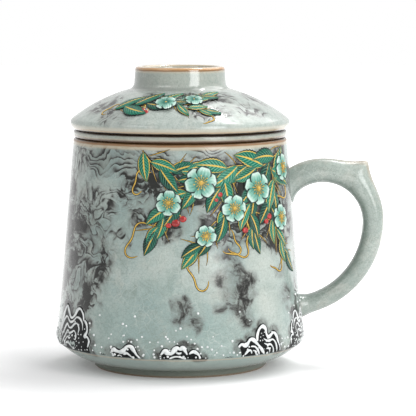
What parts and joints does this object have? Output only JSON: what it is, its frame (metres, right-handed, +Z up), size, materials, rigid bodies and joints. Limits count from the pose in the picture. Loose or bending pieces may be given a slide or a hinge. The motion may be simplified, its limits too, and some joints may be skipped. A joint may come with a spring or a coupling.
{
  "type": "lidded tea mug with infuser",
  "caption": "Tapered stoneware tea mug with a ring handle and thumb rest, a lift-out infuser that hangs from its lip, and a domed lid with a ring knob.",
  "frame": {"origin": "centre of the foot ring's standing face, on the mug's axis, at table level", "axes": "+Z up along the mug's axis, +X towards the handle"},
  "size_m": [0.1294, 0.0978, 0.1183],
  "materials": {
    "crackle_glaze": "pale grey-green crackled gloss glaze",
    "infuser_glaze": "plain pale grey-green gloss glaze",
    "bare_clay": "thin glaze over brown stoneware clay",
    "green_enamel": "raised glossy jade-green overglaze enamel",
    "gold_enamel": "ochre-gold overglaze line",
    "red_enamel": "glossy red overglaze enamel",
    "white_enamel": "raised white overglaze enamel",
    "ink_enamel": "black overglaze outline"
  },
  "bodies": {
    "mug": {"mug_body": "crackle_glaze", "mug_foot_ring": "bare_clay", "mug_handle": "crackle_glaze"},
    "infuser": {"infuser_basket": "infuser_glaze", "infuser_strainer": "infuser_glaze"},
    "lid": {"lid_dome": "crackle_glaze", "lid_locating_ring": "infuser_glaze", "lid_knob_ring": "crackle_glaze"}
  },
  "joints": [
    {"name": "infuser_lift", "type": "slide", "parent": "mug", "child": "infuser", "axis": [0, 0, 1], "range_m": [0, 0.08]},
    {"name": "lid_lift", "type": "slide", "parent": "infuser", "child": "lid", "axis": [0, 0, 1], "range_m": [0, 0.04]}
  ]
}
